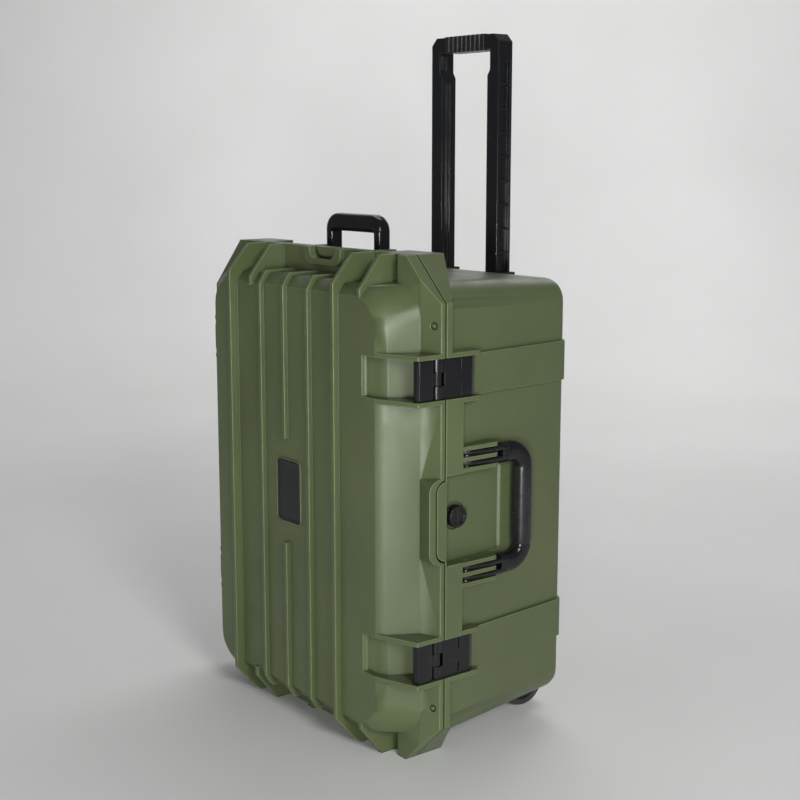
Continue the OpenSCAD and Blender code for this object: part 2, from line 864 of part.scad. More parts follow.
// Lever of a latch: turns on the link, with its free end over the base
module latch_lever() {
    half = latch_width / 2;
    inner = middle_knuckle + 0.3;
    plate_start = lever_pin_y + knuckle_r + 0.6;
    plate_end = 48;
    color(black_plastic) difference() {
        union() {
            for (s = [-1, 1])
                translate([lever_pin_x, lever_pin_y, s * (half + inner) / 2])
                    cylinder(r = knuckle_r, h = half - inner, center = true);
            plate_z(-half, half) {
                polygon([
                    [lever_pin_x + 1, plate_start], [latch_face_x, plate_start],
                    [latch_face_x, plate_end - 6], [latch_face_x - 3, plate_end],
                    [latch_face_x - 7, plate_end + 1], [latch_face_x - 7, plate_end - 6],
                    [latch_face_x - 5, plate_end - 12], [lever_pin_x + 1, plate_start + 5.4]
                ]);
            }
            for (s = [-1, 1])
                plate_z(s > 0 ? inner : -half, s > 0 ? half : -inner) polygon([
                    [lever_pin_x + 0.5, lever_pin_y], [lever_pin_x + 6, lever_pin_y + 2],
                    [latch_face_x, plate_start + 0.4], [lever_pin_x + 1, plate_start + 6.4]
                ]);
        }
        translate([lever_pin_x, lever_pin_y, 0]) pin_z(lever_pin_r + turning_fit, -half - 1, half + 1);
        // rounded corners at the free end
        plate_x(latch_face_x - 12, latch_face_x + 4) difference() {
            translate([plate_end - 8, -half - 1]) square([20, 2 * half + 2]);
            rounded(lever_pin_y, plate_end + 1.5, -half, half, 5);
        }
        // grip slots across the plate
        for (s = [-1, 1])
            translate([latch_face_x - 1, 24, s * 15.5]) cube([4, 2, 13], center = true);
    }
}

module at_latch(side) {
    translate([0, 0, mid_z + side * latch_offset]) children();
}

module latch_pin() {
    color(steel) translate([latch_pin_x, latch_pin_y, 0]) pin_z(latch_pin_r, -ear_out + 0.5, ear_out - 0.5);
}

module lever_pin() {
    reach = latch_width / 2 - 0.5;
    color(steel) translate([lever_pin_x, lever_pin_y, 0]) pin_z(lever_pin_r, -reach, reach);
}

module upper_latch_link() { at_latch(1) latch_link(); }
module upper_latch_lever() { at_latch(1) latch_lever(); }
module upper_latch_pin() { at_latch(1) latch_pin(); }
module upper_lever_pin() { at_latch(1) lever_pin(); }
module lower_latch_link() { at_latch(-1) latch_link(); }
module lower_latch_lever() { at_latch(-1) latch_lever(); }
module lower_latch_pin() { at_latch(-1) latch_pin(); }
module lower_lever_pin() { at_latch(-1) lever_pin(); }

// ---------- main handle ----------

// Section of the grip, seen in plan: a slot shape, drawn in by t
module grip_section(t = 0) {
    for (dy = [-grip_spread, grip_spread])
        translate([grip_x, grip_y + dy]) circle(r = grip_r - t);
    translate([grip_x - grip_r + t, grip_y - grip_spread]) square([2 * (grip_r - t), 2 * grip_spread]);
}

module main_handle_frame() {
    tongue_t = main_fin_pitch - main_fin_t - 1;
    tongue_end = 94;
    arm_start = 88.5;
    color(black_plastic) centred() difference() {
        union() {
            both_ends() for (k = [-0.5, 0.5])
                let (z = main_fin_z + k * main_fin_pitch)
                    plate_z(z - tongue_t / 2, z + tongue_t / 2) {
                        translate([main_pivot_x, main_pivot_y]) circle(r = 5);
                        polygon([
                            [main_pivot_x, main_pivot_y - 5], [main_pivot_x + 5, main_pivot_y],
                            [main_pivot_x + 7, main_pivot_y + 26], [main_pivot_x + 7, tongue_end],
                            [main_pivot_x - 8, tongue_end], [main_pivot_x - 4, main_pivot_y]
                        ]);
                    }
            difference() {
                plate_x(grip_x - 8, grip_x + 8) difference() {
                    rounded(arm_start, grip_y + grip_r + grip_spread, -main_reach, main_reach, 22);
                    rounded(arm_start - 30, grip_y - grip_r - grip_spread, -grip_half, grip_half, 12);
                }
                plate_z(-grip_half, grip_half) translate([0, grip_y - 30]) square([half_w * 2, 80]);
                translate([0, arm_start - 40, -grip_half - 15]) cube([half_w * 2, 40, 2 * grip_half + 30]);
            }
            plate_z(-grip_half - 1, grip_half + 1) grip_section(grip_skin);
        }
        both_ends() translate([main_pivot_x, main_pivot_y, main_fin_z])
            pin_z(main_pin_r + turning_fit, -main_fin_pitch - 1, main_fin_pitch + 1);
    }
}

module main_handle_grip() {
    color(rubber_black) centred() plate_z(-grip_half + seat_gap, grip_half - seat_gap) difference() {
        grip_section();
        grip_section(grip_skin - seat_gap);
    }
}

module main_handle_pins() {
    reach = main_fin_pitch + main_fin_t / 2 - 0.4;
    color(steel) centred() both_ends()
        translate([main_pivot_x, main_pivot_y, main_fin_z]) pin_z(main_pin_r, -reach, reach);
}

// ---------- end handle ----------

module end_handle() {
    bar = 24;
    y0 = end_pivot_y - end_leg_t / 2;
    foot_r = end_leg_t / 2;
    leg_x = end_half_w - end_leg_w;
    color(black_plastic) centred() difference() {
        intersection() {
            slab(y0, y0 + end_leg_t) difference() {
                rounded(-end_half_w, end_half_w, end_pivot_z - 60, end_top_z, 22);
                rounded(-leg_x, leg_x, end_pivot_z - 60, end_top_z - bar, 9);
            }
            plate_x(-end_half_w, end_half_w) {
                translate([end_pivot_y, end_pivot_z]) circle(r = foot_r);
                translate([y0, end_pivot_z]) square([end_leg_t, 100]);
            }
        }
        translate([0, end_pivot_y, end_pivot_z])
            pin_x(end_pin_r + turning_fit, -end_half_w - 1, end_half_w + 1);
    }
}

module end_handle_pins() {
    color(steel) centred() translate([0, end_pivot_y, end_pivot_z]) both_sides()
        pin_x(end_pin_r, end_half_w - end_leg_w - end_lug_w + 1, end_half_w + end_lug_w - 1);
}

// ---------- pressure valve ----------

module at_valve() {
    translate([0, valve_y, mid_z]) children();
}

module valve_body() {
    color(black_plastic) at_valve() difference() {
        union() {
            pin_x(valve_bore_r - seat_gap, valve_x - 14, valve_x + 1);
            pin_x(valve_knob_r - 1, valve_x + 1.5, valve_x + 4);
            pin_x(valve_bore_r - 1, valve_x, valve_x + 2);
            pin_x(4, valve_x + 3, valve_x + 9);
        }
        pin_x(5.5, valve_x - 15, valve_x);
    }
}

module valve_knob() {
    color(black_plastic) at_valve() difference() {
        union() {
            pin_x(valve_knob_r - 1.2, valve_x + 4.2, valve_x + 12);
            for (a = [0 : 20 : 340])
                rotate([a, 0, 0]) translate([0, valve_knob_r - 1.4, 0])
                    pin_x(1.3, valve_x + 4.2, valve_x + 11);
        }
        pin_x(4 + turning_fit, valve_x + 4, valve_x + 9.3);
        // hollow face with a bar across it
        difference() {
            pin_x(valve_knob_r - 4, valve_x + 10.2, valve_x + 13);
            translate([valve_x + 9, -2, -20]) cube([5, 4, 40]);
        }
    }
}

module valve_seal() {
    color(rubber_black) at_valve() difference() {
        pin_x(valve_knob_r - 1.5, valve_x + seat_gap, valve_x + 1.5 - seat_gap);
        pin_x(valve_bore_r + 0.1, valve_x - 1, valve_x + 2);
    }
}

module valve_nut() {
    color(black_plastic) at_valve() difference() {
        rotate([0, 90, 0]) translate([0, 0, valve_x - wall - 5.05]) cylinder(r = 15, h = 5, $fn = 6);
        pin_x(valve_bore_r, valve_x - wall - 6, valve_x);
    }
}

module valve_membrane() {
    color("white") at_valve() pin_x(5.45, valve_x - 6, valve_x - 5);
}

// ---------- pull handle ----------

// Front outline of the pull handle: two arms joined by a bar, with cut corners and finger room
module pull_outline() {
    w = pull_width / 2;
    under = pull_top - pull_bar;
    inner = w - arm_w;
    right = [
        [w, arm_bottom], [w, pull_top - 10], [w - 10, pull_top]
    ];
    left = [for (k = [2 : -1 : 0]) [-right[k][0], right[k][1]]];
    inner_left = [[-inner, arm_bottom], [-inner, under - 34], [-inner - 5, under - 26], [-inner - 5, under]];
    inner_right = [for (k = [3 : -1 : 0]) [-inner_left[k][0], inner_left[k][1]]];
    polygon(concat(right, left, inner_left, inner_right));
}

module pull_handle_frame() {
    rib_pitch = 32;
    rib_t = 2.4;
    channel = 5;
    flange = 4;
    first = arm_bottom + 30;
    under = pull_top - pull_bar;
    color(black_plastic) centred() difference() {
        slab(arm_y0, arm_y1) pull_outline();
        // channels with cross ribs along the outside of both arms
        both_sides() for (z = [first : rib_pitch : pull_top - 45])
            translate([pull_width / 2 - channel, arm_y0 + flange, z])
                cube([channel + 1, arm_depth - 2 * flange, rib_pitch - rib_t]);
        // two grooves along the inside of both arms
        both_sides() for (y = [arm_y0 + flange + 2, arm_y0 + flange + 8])
            translate([pull_width / 2 - arm_w - 1, y, arm_bottom + 20])
                cube([3, 3, pull_top - pull_bar - 42 - arm_bottom - 20]);
        // slots beside the finger room
        both_sides() for (y = [arm_y0 + 3, arm_y0 + 10])
            translate([pull_width / 2 - arm_w + 3, y, under - 22]) cube([4, 2.5, 18]);
        // the bar is thinner where the grip goes round it
        difference() {
            translate([-pull_grip_half, arm_y0 - 1, under - 1])
                cube([2 * pull_grip_half, arm_depth + 2, pull_bar + 2]);
            translate([-pull_grip_half - 1, arm_y0 + pull_skin, under + pull_skin])
                cube([2 * pull_grip_half + 2, arm_depth - 2 * pull_skin, pull_bar - 2 * pull_skin]);
        }
        both_sides() translate([arm_x, arm_y, 0]) pin_z(screw_r + fixed_fit, arm_bottom - 1, arm_bottom + 18);
    }
}

module pull_handle_grip() {
    under = pull_top - pull_bar;
    half = pull_grip_half - seat_gap;
    hole = pull_skin - seat_gap;
    rib_pitch = 9;
    color(rubber_black) centred() difference() {
        translate([-half, arm_y0 - 1, under - 1]) cube([2 * half, arm_depth + 2, pull_bar + 2]);
        translate([-half - 1, arm_y0 + hole, under + hole])
            cube([2 * half + 2, arm_depth - 2 * hole, pull_bar - 2 * hole]);
        for (x = [-half + rib_pitch : rib_pitch : half - 2])
            difference() {
                translate([x - 1.5, arm_y0 - 2, under - 2]) cube([2.5, arm_depth + 4, pull_bar + 4]);
                translate([x - 2, arm_y0 + 0.4, under + 0.4]) cube([4, arm_depth - 0.8, pull_bar - 0.8]);
            }
    }
}

module pull_handle_shoes() {
    color(black_plastic) centred() both_sides() difference() {
        translate([arm_x - arm_w / 2 - shoe_grow, arm_y0 - shoe_grow, arm_bottom - shoe_h])
            cube([arm_w + 2 * shoe_grow, arm_depth + 2 * shoe_grow, shoe_h - seat_gap]);
        translate([arm_x, arm_y, 0]) pin_z(screw_r + fixed_fit, arm_bottom - shoe_h - 1, arm_bottom + 1);
        translate([arm_x, arm_y, 0]) pin_z(2 * screw_r, arm_bottom - shoe_h - 1, arm_bottom - shoe_h + 4);
    }
}

module pull_handle_screws() {
    color(steel) centred() both_sides() translate([arm_x, arm_y, 0]) {
        pin_z(screw_r, arm_bottom - shoe_h + 4.05, arm_bottom + 15);
        pin_z(2 * screw_r - 0.1, arm_bottom - shoe_h + 0.5, arm_bottom - shoe_h + 4);
    }
}

// Plan outline of the room inside one channel of the track
module channel_room(grow = 0) {
    g = shoe_grow + slide_gap + grow;
    translate([arm_x - arm_w / 2 - g, arm_y0 - g]) square([arm_w + 2 * g, arm_depth + 2 * g]);
}

module handle_track() {
    spine = arm_x - arm_w / 2 - shoe_grow - slide_gap - track_wall;
    color(black_plastic) centred() difference() {
        union() {
            both_sides() plate_z(track_bottom, track_top) {
                channel_room(track_wall);
                translate([spine, track_y0]) square([track_half_w - spine, 20]);
            }
            plate_z(track_bottom, track_top)
                translate([-track_half_w, track_y0]) square([2 * track_half_w, track_plate_t]);
            // cross walls between the channels
            for (z = [track_bottom : 95 : track_top])
                translate([-spine - 1, track_y0, z]) cube([2 * spine + 2, 16, 3]);
        }
        both_sides() {
            plate_z(track_bottom + 4, track_top + 1) channel_room();
            // lightening hollow behind each channel
            plate_z(track_bottom + 4, track_top - 4)
                translate([spine + 3, track_y0 + 3]) square([track_half_w - spine - 6, 4.5]);
        }
        at_track_screws() pin_y(screw_r + fixed_fit, base_depth - 1, base_depth + 20);
    }
}

module track_bushes() {
    color(black_plastic) centred() both_sides() plate_z(bush_bottom, track_top) difference() {
        channel_room(-seat_gap);
        translate([arm_x - arm_w / 2 - slide_gap, arm_y0 - slide_gap])
            square([arm_w + 2 * slide_gap, arm_depth + 2 * slide_gap]);
    }
}

module track_screws() {
    head_y = track_y0 + track_plate_t + seat_gap;
    color(steel) centred() at_track_screws() {
        pin_y(screw_r, base_depth - 9, head_y + 1);
        difference() {
            pin_y(2 * screw_r, head_y, head_y + 3);
            pin_y(1.5, head_y + 1.5, head_y + 4);
        }
    }
}

// ---------- wheels ----------

module wheel_housing() {
    x0 = wheel_x0 - pocket_gap - housing_t + seat_gap;
    x1 = wheel_x1 + pocket_gap + housing_t - seat_gap;
    r = wheel_r + pocket_gap + housing_t - seat_gap;
    cheek_low = wheel_z - 11;
    color(black_plastic) centred() difference() {
        intersection() {
            translate([0, wheel_y, wheel_z]) pin_x(r, x0, x1);
            translate([x0, wheel_y - r, cheek_low]) cube([x1 - x0, r + 13, 2 * r]);
        }
        translate([0, wheel_y, wheel_z]) pin_x(r - housing_t, x0 + housing_t, x1 - housing_t);
        translate([x0 + housing_t, wheel_y, cheek_low - 1]) cube([x1 - x0 - 2 * housing_t, 60, 3 * r]);
        translate([0, wheel_y, wheel_z]) pin_x(axle_r + fixed_fit, x0 - 1, x1 + 1);
        at_housing_screws() pin_x(housing_screw_r + fixed_fit, x0 - 1, x1 + 1);
    }
}

// Section of the tyre, with round shoulders and two grooves in the tread
module tyre_section() {
    half = wheel_width / 2;
    r = 6;
    difference() {
        polygon(concat(
            [[hub_r, -half + 2], [wheel_r - r, -half]],
            [for (a = [-75 : 15 : 0]) [wheel_r - r + r * cos(a), -half + r + r * sin(a)]],
            [for (a = [0 : 15 : 75]) [wheel_r - r + r * cos(a), half - r + r * sin(a)]],
            [[wheel_r - r, half], [hub_r, half - 2]]
        ));
        for (x = [-5, 5])
            translate([wheel_r - 1.5, x - 1]) square([3, 2]);
    }
}

module wheel_tyre() {
    color(rubber_black) rotate([0, 90, 0]) rotate_extrude($fn = 96) tyre_section();
}

module wheel_hub() {
    half = wheel_width / 2;
    spokes = 6;
    color(black_plastic) difference() {
        union() {
            pin_x(bush_r + 4, -half, half);
            difference() {
                pin_x(hub_r - seat_gap, -half + 3, half - 3);
                pin_x(hub_r - 4, -half, half);
            }
            pin_x(hub_r - 3, -3, 3);
            for (k = [0 : spokes - 1])
                rotate([360 * k / spokes, 0, 0]) translate([-half + 5, bush_r + 1, -1.8])
                    cube([wheel_width - 10, hub_r - bush_r - 3, 3.6]);
        }
        pin_x(bush_r, -half - 1, half + 1);
    }
}

module wheel_bushes() {
    half = wheel_width / 2;
    color(brass) both_sides() difference() {
        union() {
            pin_x(bush_r - 0.02, half - 12, half);
            pin_x(bush_r + 2, half + seat_gap, half + 1.5);
        }
        pin_x(axle_r + turning_fit, half - 13, half + 2);
    }
}

module axle() {
    reach = wheel_width / 2 + pocket_gap + housing_t;
    color(steel) difference() {
        pin_x(axle_r, -reach + 0.4, reach - 0.4);
        pin_x(1.5, reach - 2, reach);
    }
}

module at_wheel() {
    translate([(wheel_x0 + wheel_x1) / 2, wheel_y, mid_z + wheel_z]) children();
}

module wheel_housing_screws() {
    x0 = wheel_x0 - pocket_gap;
    x1 = wheel_x1 + pocket_gap;
    color(steel) centred() both_sides() at_housing_screws() {
        pin_x(housing_screw_r, x1 - 1, x1 + housing_t + 3.5);
        pin_x(housing_screw_r, x0 - housing_t - 3.5, x0 + 1);
        pin_x(1.7 * housing_screw_r, x1 - 1.6, x1 - seat_gap);
        pin_x(1.7 * housing_screw_r, x0 + seat_gap, x0 + 1.6);
    }
}

module left_wheel_housing() { mirror([1, 0, 0]) wheel_housing(); }
module left_wheel_tyre() { mirror([1, 0, 0]) at_wheel() wheel_tyre(); }
module left_wheel_hub() { mirror([1, 0, 0]) at_wheel() wheel_hub(); }
module left_wheel_bushes() { mirror([1, 0, 0]) at_wheel() wheel_bushes(); }
module left_axle() { mirror([1, 0, 0]) at_wheel() axle(); }
module right_wheel_housing() { wheel_housing(); }
module right_wheel_tyre() { at_wheel() wheel_tyre(); }
module right_wheel_hub() { at_wheel() wheel_hub(); }
module right_wheel_bushes() { at_wheel() wheel_bushes(); }
module right_axle() { at_wheel() axle(); }

base_shell();
lid_shell();
lid_gasket();
nameplate();
hinge_pins();
hinge_bushes();
padlock_eyelets_lid();
padlock_eyelets_base();
upper_latch_link();
upper_latch_lever();
upper_latch_pin();
upper_lever_pin();
lower_latch_link();
lower_latch_lever();
lower_latch_pin();
lower_lever_pin();
main_handle_frame();
main_handle_grip();
main_handle_pins();
end_handle();
end_handle_pins();
valve_body();
valve_knob();
valve_seal();
valve_nut();
valve_membrane();
pull_handle_frame();
pull_handle_grip();
pull_handle_shoes();
pull_handle_screws();
handle_track();
track_bushes();
track_screws();
left_wheel_housing();
right_wheel_housing();
wheel_housing_screws();
left_wheel_tyre();
left_wheel_hub();
left_wheel_bushes();
left_axle();
right_wheel_tyre();
right_wheel_hub();
right_wheel_bushes();
right_axle();
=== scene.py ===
import json
import math
import bmesh
import bpy
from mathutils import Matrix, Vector


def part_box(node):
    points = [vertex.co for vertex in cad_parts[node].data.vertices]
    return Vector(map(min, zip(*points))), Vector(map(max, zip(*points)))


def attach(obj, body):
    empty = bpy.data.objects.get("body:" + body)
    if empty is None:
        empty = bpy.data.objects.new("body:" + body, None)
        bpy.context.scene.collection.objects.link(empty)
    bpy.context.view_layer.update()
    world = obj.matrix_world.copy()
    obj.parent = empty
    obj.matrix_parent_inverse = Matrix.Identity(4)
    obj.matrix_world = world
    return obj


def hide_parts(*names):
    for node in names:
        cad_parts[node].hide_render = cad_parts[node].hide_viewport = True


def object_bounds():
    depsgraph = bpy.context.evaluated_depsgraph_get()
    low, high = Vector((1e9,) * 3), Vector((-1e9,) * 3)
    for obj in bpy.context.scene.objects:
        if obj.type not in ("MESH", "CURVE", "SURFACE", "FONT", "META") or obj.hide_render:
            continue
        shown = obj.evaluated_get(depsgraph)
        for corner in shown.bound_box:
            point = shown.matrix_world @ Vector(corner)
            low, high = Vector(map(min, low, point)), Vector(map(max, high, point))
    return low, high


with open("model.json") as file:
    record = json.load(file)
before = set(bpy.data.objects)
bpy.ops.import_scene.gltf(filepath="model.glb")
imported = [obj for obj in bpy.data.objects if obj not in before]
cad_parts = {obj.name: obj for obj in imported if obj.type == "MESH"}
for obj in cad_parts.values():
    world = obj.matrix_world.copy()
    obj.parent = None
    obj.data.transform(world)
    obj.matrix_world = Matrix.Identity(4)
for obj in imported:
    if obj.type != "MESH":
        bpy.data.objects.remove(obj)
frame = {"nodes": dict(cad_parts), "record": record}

cad_lo, cad_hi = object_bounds()
record = frame["record"]
MM = 0.001
BODY_OF = {node: body for body, nodes in record["behaviour"]["bodies"].items() for node in nodes}
SLOT_OF = {part["node"]: part["material_slot"] for part in record["subparts"]}


# ---------- materials ----------

def scaled(colour, factor, lift=0.0):
    """A colour made darker or lighter and lifted by a little, but never past full strength."""
    return tuple(min(1.0, channel * factor + lift) for channel in colour)


class Shader:
    """A material's node tree, with short calls for adding and joining nodes."""

    def __init__(self, name):
        self.material = bpy.data.materials.new(name)
        self.material.use_nodes = True
        self.tree = self.material.node_tree
        self.surface = self.tree.nodes["Principled BSDF"]
        self.place = self.add("ShaderNodeTexCoord").outputs["Object"]

    def add(self, kind, **settings):
        node = self.tree.nodes.new(kind)
        for key, value in settings.items():
            setattr(node, key, value)
        return node

    def join(self, output, socket):
        self.tree.links.new(output, socket)

    def noise(self, size, detail=3.0, roughness=0.5):
        """Noise whose features are about size metres across, from 0 to 1."""
        node = self.add("ShaderNodeTexNoise")
        node.inputs["Scale"].default_value = 1 / size
        node.inputs["Detail"].default_value = detail
        node.inputs["Roughness"].default_value = roughness
        self.join(self.place, node.inputs["Vector"])
        return node.outputs["Fac"]

    def remap(self, value, low, high, new_low, new_high):
        """Stretches low to high over new_low to new_high, and holds the value at those ends."""
        node = self.add("ShaderNodeMapRange")
        self.join(value, node.inputs["Value"])
        numbers = {"From Min": low, "From Max": high, "To Min": new_low, "To Max": new_high}
        for key, number in numbers.items():
            node.inputs[key].default_value = number
        return node.outputs["Result"]

    def math(self, operation, a, b):
        node = self.add("ShaderNodeMath", operation=operation)
        for socket, value in zip(node.inputs, (a, b)):
            if isinstance(value, (int, float)):
                socket.default_value = value
            else:
                self.join(value, socket)
        return node.outputs["Value"]

    def blend_colours(self, factor, a, b):
        """Colour a where factor is 0 and colour b where it is 1."""
        # The mix node has several sockets of the same name, so its colours go by number
        first_colour, second_colour, mixed_colour = 6, 7, 2
        node = self.add("ShaderNodeMix", data_type="RGBA")
        self.join(factor, node.inputs["Factor"])
        for key, value in ((first_colour, a), (second_colour, b)):
            if isinstance(value, tuple):
                node.inputs[key].default_value = (*value, 1.0)
            else:
                self.join(value, node.inputs[key])
        return node.outputs[mixed_colour]

    def edges(self, radius):
        """A mask that is 0 on flat faces and grows to 1 along sharp edges, and the rounded normal."""
        still_flat, full_edge = 0.985, 0.8
        rounded = self.add("ShaderNodeBevel", samples=4)
        rounded.inputs["Radius"].default_value = radius
        flat = self.add("ShaderNodeNewGeometry")
        likeness = self.add("ShaderNodeVectorMath", operation="DOT_PRODUCT")
        self.join(rounded.outputs["Normal"], likeness.inputs[0])
        self.join(flat.outputs["Normal"], likeness.inputs[1])
        mask = self.remap(likeness.outputs["Value"], still_flat, full_edge, 0.0, 1.0)
        return mask, rounded.outputs["Normal"]

    def creases(self, reach):
        """1 in tight inside corners and 0 in the open."""
        open_air, tight_corner = 0.9, 0.45
        node = self.add("ShaderNodeAmbientOcclusion", samples=6)
        node.inputs["Distance"].default_value = reach
        return self.remap(node.outputs["AO"], open_air, tight_corner, 0.0, 1.0)

    def bump(self, height, distance, strength, normal=None):
        node = self.add("ShaderNodeBump")
        node.inputs["Distance"].default_value = distance
        node.inputs["Strength"].default_value = strength
        self.join(height, node.inputs["Height"])
        if normal is not None:
            self.join(normal, node.inputs["Normal"])
        return node.outputs["Normal"]

    def finish(self, colour, roughness, normal, **values):
        self.join(colour, self.surface.inputs["Base Color"])
        self.join(roughness, self.surface.inputs["Roughness"])
        self.join(normal, self.surface.inputs["Normal"])
        for key, value in values.items():
            self.surface.inputs[key.replace("_", " ")].default_value = value
        return self.material


def moulded_plastic(name, colour, roughness, grain, edge_highlight_lift, **values):
    """Injection-moulded plastic: fine grain, slow colour drift, scuffs, painted shade and grime in its
    creases, and painted highlights along its edges."""
    edge_width, crease_reach = 2.2 * MM, 5 * MM
    # The second and third shares set how strong the painted edge highlight and the painted crease shade are
    speck_share, edge_highlight_share, crease_shade_and_grime_share, edge_gloss = 0.35, 0.85, 0.75, 0.1
    grain_depth, sink_depth, sink_strength = 0.25 * MM, 1.6 * MM, 0.12
    s = Shader(name)
    dark = scaled(colour, 0.86)
    drift = s.remap(s.noise(0.16, 2), 0.3, 0.7, 0.0, 1.0)
    base = s.blend_colours(drift, dark, scaled(colour, 1.1))
    speck = s.remap(s.noise(0.0016, 2), 0.35, 0.65, 0.0, 1.0)
    base = s.blend_colours(s.math("MULTIPLY", speck, speck_share), base, dark)
    edge, rounded = s.edges(edge_width)
    crease = s.creases(crease_reach)
    broken = s.remap(s.noise(0.02, 5, 0.65), 0.42, 0.62, 0.55, 1.0)
    edge = s.math("MULTIPLY", s.math("MULTIPLY", edge, broken), s.math("SUBTRACT", 1.0, crease))
    # Painted highlight: sharp outside edges, broken up by noise, are lightened as if they caught the light
    base = s.blend_colours(s.math("MULTIPLY", edge, edge_highlight_share), base, scaled(colour, edge_highlight_lift, 0.01))
    # Painted shade in tight inside corners, darkened where shade falls there, which also stands for grime
    base = s.blend_colours(s.math("MULTIPLY", crease, crease_shade_and_grime_share), base, scaled(colour, 0.45))
    scuffs = s.remap(s.noise(0.05, 6, 0.7), 0.45, 0.7, roughness - 0.05, roughness + 0.09)
    rough = s.math("SUBTRACT", scuffs, s.math("MULTIPLY", edge, edge_gloss))
    normal = s.bump(s.noise(0.0011, 2), grain_depth, grain, rounded)
    normal = s.bump(s.noise(0.07, 2), sink_depth, sink_strength, normal)
    return s.finish(base, rough, normal, **values)


def rubber(name, colour, roughness, grain):
    """Rubber with a dusty bloom in patches and along its edges."""
    edge_width, edge_dust, grain_depth = 1.2 * MM, 0.5, 0.3 * MM
    s = Shader(name)
    dusty = scaled(colour, 1.8, 0.004)
    dust = s.remap(s.noise(0.03, 5, 0.6), 0.4, 0.75, 0.0, 0.7)
    edge, rounded = s.edges(edge_width)
    base = s.blend_colours(dust, colour, dusty)
    base = s.blend_colours(s.math("MULTIPLY", edge, edge_dust), base, dusty)
    rough = s.remap(s.noise(0.012, 4), 0.3, 0.7, roughness - 0.08, roughness + 0.08)
    normal = s.bump(s.noise(0.0009, 2), grain_depth, grain, rounded)
    return s.finish(base, rough, normal)


def metal(name, colour, roughness, brushed_along):
    """Plated or turned metal with fine marks along one axis and a few dull patches."""
    mark_width, mark_squeeze, mark_depth, mark_strength = 0.6 * MM, 0.05, 0.05 * MM, 0.3
    edge_width = 0.4 * MM
    s = Shader(name)
    stretch = s.add("ShaderNodeMapping")
    stretch.inputs["Scale"].default_value = [mark_squeeze if axis == brushed_along else 1 for axis in "XYZ"]
    s.join(s.place, stretch.inputs["Vector"])
    marks = s.add("ShaderNodeTexNoise")
    marks.inputs["Scale"].default_value = 1 / mark_width
    s.join(stretch.outputs["Vector"], marks.inputs["Vector"])
    patches = s.remap(s.noise(0.008, 4), 0.45, 0.7, 0.0, 0.8)
    base = s.blend_colours(patches, colour, scaled(colour, 0.6))
    rough = s.remap(marks.outputs["Fac"], 0.3, 0.7, roughness - 0.08, roughness + 0.12)
    rounded = s.edges(edge_width)[1]
    normal = s.bump(marks.outputs["Fac"], mark_depth, mark_strength, rounded)
    return s.finish(base, rough, normal, Metallic=1.0)


def woven_membrane(name, colour):
    """A thin breathing membrane with a fine square weave."""
    thread_width, thread_depth, thread_strength = 0.6 * MM, 0.05 * MM, 0.5
    s = Shader(name)
    weave = s.add("ShaderNodeTexChecker")
    weave.inputs["Scale"].default_value = 1 / thread_width
    s.join(s.place, weave.inputs["Vector"])
    base = s.blend_colours(weave.outputs["Fac"], colour, scaled(colour, 0.8))
    rough = s.remap(s.noise(0.002), 0.3, 0.7, 0.8, 0.95)
    normal = s.bump(weave.outputs["Fac"], thread_depth, thread_strength)
    return s.finish(base, rough, normal)


OLIVE = (0.078, 0.101, 0.042)
BLACK = (0.0055, 0.0058, 0.0068)
SOFT_BLACK = (0.0065, 0.0068, 0.0075)
# The fifth number of each moulded_plastic is how much its painted edge highlights lighten the colour
FINISHES = {
    "olive_shell": moulded_plastic("olive_shell", OLIVE, 0.43, 0.3, 3.2, Specular_IOR_Level=0.5),
    "black_plastic": moulded_plastic("black_plastic", BLACK, 0.24, 0.05, 3.0, Specular_IOR_Level=0.4),
    "black_satin": moulded_plastic("black_satin", SOFT_BLACK, 0.32, 0.15, 3.0, Specular_IOR_Level=0.4),
    "soft_grip": rubber("soft_grip", SOFT_BLACK, 0.3, 0.12),
    "seal_rubber": rubber("seal_rubber", (0.018, 0.018, 0.018), 0.6, 0.15),
    "tyre_rubber": rubber("tyre_rubber", (0.016, 0.016, 0.016), 0.62, 0.4),
    "steel": metal("steel", (0.58, 0.59, 0.61), 0.3, "Z"),
    "brass": metal("brass", (0.70, 0.52, 0.24), 0.32, "Z"),
    "membrane": woven_membrane("membrane", (0.72, 0.72, 0.70)),
}


# ---------- pieces with the form of a CAD node ----------

# Angles between neighbouring faces, in degrees
FLAT_CORNER = 0.6
SHELL_CURVE = 19
BEVELLED_CORNER = 19
PIECE_CURVE = 40


def finish_piece(name, form, node, smooth_up_to=PIECE_CURVE):
    """Turns a mesh in code into a piece that stands for a CAD node and moves with its body."""
    mesh = bpy.data.meshes.new(name)
    form.to_mesh(mesh)
    form.free()
    for polygon in mesh.polygons:
        polygon.use_smooth = True
    mesh.set_sharp_from_angle(angle=math.radians(smooth_up_to))
    mesh.materials.append(FINISHES[SLOT_OF[node]])
    piece = bpy.data.objects.new(name, mesh)
    bpy.context.scene.collection.objects.link(piece)
    even = piece.modifiers.new("flat_faces_stay_flat", "WEIGHTED_NORMAL")
    even.keep_sharp = True
    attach(piece, BODY_OF[node])
    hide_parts(node)


def cad_form(node):
    """A CAD node's mesh with its flat faces joined up."""
    form = bmesh.new()
    form.from_mesh(frame["nodes"][node].data)
    bmesh.ops.remove_doubles(form, verts=form.verts, dist=0.01 * MM)
    bmesh.ops.dissolve_limit(
        form, angle_limit=math.radians(FLAT_CORNER), verts=form.verts, edges=form.edges,
    )
    return form


def shell_skin(node):
    """A shell with its CAD form and soft shading over its curved corners."""
    finish_piece(node + "_skin", cad_form(node), node, SHELL_CURVE)


